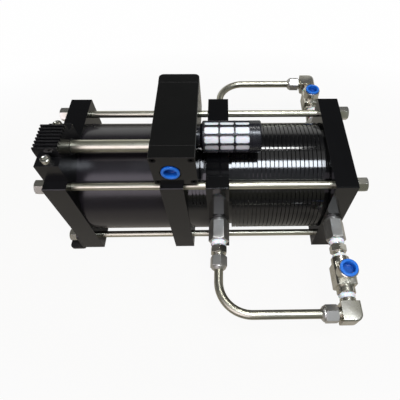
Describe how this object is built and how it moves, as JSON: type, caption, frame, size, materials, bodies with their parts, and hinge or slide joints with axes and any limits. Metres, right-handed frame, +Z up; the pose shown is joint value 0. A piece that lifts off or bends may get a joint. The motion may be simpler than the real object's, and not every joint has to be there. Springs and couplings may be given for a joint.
{
  "type": "air-driven booster pump",
  "caption": "Air-driven gas booster: drive and gas cylinders in line between square plates on tie rods, with valve block, muffler, check valves and steel pipework.",
  "frame": {"origin": "centre of the foot bolt pattern, on the surface that the feet stand on", "axes": "+X along the cylinders from the drive end to the gas end, +Y from the front pipework to the rear pipework, +Z up"},
  "size_m": [0.486, 0.494, 0.239],
  "materials": {
    "black_plate": "bright black anodised",
    "satin_barrel": "satin black anodised",
    "gloss_barrel": "bright black anodised",
    "seal_rubber": "moulded",
    "rod_steel": "polished stainless",
    "nut_steel": "machined stainless",
    "foot_paint": "black powder coat",
    "black_head": "black anodised",
    "bright_screw": "bright stainless",
    "tube_steel": "drawn and polished stainless",
    "valve_black": "satin black anodised",
    "dark_screw": "black oxide",
    "sleeve_steel": "ground stainless",
    "cage_plastic": "moulded black",
    "core_white": "sintered white",
    "bush_bronze": "machined bronze",
    "spring_steel": "drawn wire",
    "fitting_steel": "machined stainless",
    "poppet_steel": "ground stainless",
    "piston_aluminium": "machined",
    "rod_chrome": "hard chromed and ground",
    "plug_blue": "moulded blue"
  },
  "bodies": {
    "housing": {"left_end_plate": "black_plate", "drive_port_plate": "black_plate", "inner_gas_plate": "black_plate", "outer_gas_plate": "black_plate", "drive_barrel": "satin_barrel", "distance_barrel": "gloss_barrel", "gas_barrel": "gloss_barrel", "barrel_gaskets": "seal_rubber", "tie_rods": "rod_steel", "tie_rod_nuts": "nut_steel", "left_foot": "foot_paint", "right_foot": "foot_paint", "pilot_head": "black_head", "pilot_head_screws": "bright_screw", "flow_tube": "tube_steel", "flow_tube_seals": "seal_rubber", "valve_body": "valve_black", "valve_front_cover": "valve_black", "valve_rear_cover": "valve_black", "valve_cover_screws": "dark_screw", "valve_sleeve": "sleeve_steel", "muffler_cage": "cage_plastic", "muffler_core": "core_white", "muffler_cap": "cage_plastic", "rod_glands": "bush_bronze", "pilot_caps": "dark_screw", "left_pilot_spring": "spring_steel", "right_pilot_spring": "spring_steel", "front_inner_check_body": "fitting_steel", "front_outer_check_body": "fitting_steel", "rear_inner_check_body": "fitting_steel", "rear_outer_check_body": "fitting_steel", "front_inner_check_spring": "spring_steel", "front_outer_check_spring": "spring_steel", "rear_inner_check_spring": "spring_steel", "rear_outer_check_spring": "spring_steel", "front_tube": "tube_steel", "rear_tube": "tube_steel", "front_elbow": "fitting_steel", "rear_elbow": "fitting_steel", "front_tee": "fitting_steel", "rear_tee": "fitting_steel", "tube_connectors": "fitting_steel", "hex_nipples": "fitting_steel", "tube_nuts": "fitting_steel"},
    "piston_assembly": {"drive_piston": "piston_aluminium", "gas_piston": "piston_aluminium", "piston_seals": "seal_rubber", "piston_rod": "rod_chrome", "piston_nuts": "nut_steel"},
    "spool": {"valve_spool": "sleeve_steel"},
    "left_pilot": {"left_pilot_stem": "sleeve_steel"},
    "right_pilot": {"right_pilot_stem": "sleeve_steel"},
    "front_inner_poppet": {"front_inner_check_poppet": "poppet_steel"},
    "front_outer_poppet": {"front_outer_check_poppet": "poppet_steel"},
    "rear_inner_poppet": {"rear_inner_check_poppet": "poppet_steel"},
    "rear_outer_poppet": {"rear_outer_check_poppet": "poppet_steel"},
    "air_plug": {"air_port_plug": "plug_blue"},
    "front_plug": {"front_tee_plug": "plug_blue"},
    "rear_plug": {"rear_tee_plug": "plug_blue"}
  },
  "joints": [
    {"name": "piston_slide", "type": "slide", "parent": "housing", "child": "piston_assembly", "axis": [1, 0, 0], "range_m": [-0.0455, 0.0455]},
    {"name": "spool_slide", "type": "slide", "parent": "housing", "child": "spool", "axis": [0, 1, 0], "range_m": [0, 0.008]},
    {"name": "left_pilot_push", "type": "slide", "parent": "housing", "child": "left_pilot", "axis": [-1, 0, 0], "range_m": [0, 0.0035], "stiffness_N_per_m": 400, "springref_m": -0.005, "deforming": ["left_pilot_spring"]},
    {"name": "right_pilot_push", "type": "slide", "parent": "housing", "child": "right_pilot", "axis": [1, 0, 0], "range_m": [0, 0.0035], "stiffness_N_per_m": 400, "springref_m": -0.005, "deforming": ["right_pilot_spring"]},
    {"name": "front_inner_poppet_lift", "type": "slide", "parent": "housing", "child": "front_inner_poppet", "axis": [0, -1, 0], "range_m": [0, 0.003], "stiffness_N_per_m": 300, "springref_m": -0.004, "deforming": ["front_inner_check_spring"]},
    {"name": "front_outer_poppet_lift", "type": "slide", "parent": "housing", "child": "front_outer_poppet", "axis": [0, -1, 0], "range_m": [0, 0.003], "stiffness_N_per_m": 300, "springref_m": -0.004, "deforming": ["front_outer_check_spring"]},
    {"name": "rear_inner_poppet_lift", "type": "slide", "parent": "housing", "child": "rear_inner_poppet", "axis": [0, -1, 0], "range_m": [0, 0.003], "stiffness_N_per_m": 300, "springref_m": -0.004, "deforming": ["rear_inner_check_spring"]},
    {"name": "rear_outer_poppet_lift", "type": "slide", "parent": "housing", "child": "rear_outer_poppet", "axis": [0, -1, 0], "range_m": [0, 0.003], "stiffness_N_per_m": 300, "springref_m": -0.004, "deforming": ["rear_outer_check_spring"]},
    {"name": "air_plug_pull", "type": "slide", "parent": "housing", "child": "air_plug", "axis": [0, -1, 0], "range_m": [0, 0.025]},
    {"name": "front_plug_pull", "type": "slide", "parent": "housing", "child": "front_plug", "axis": [0, 0, 1], "range_m": [0, 0.025]},
    {"name": "rear_plug_pull", "type": "slide", "parent": "housing", "child": "rear_plug", "axis": [0, 0, 1], "range_m": [0, 0.025]}
  ]
}
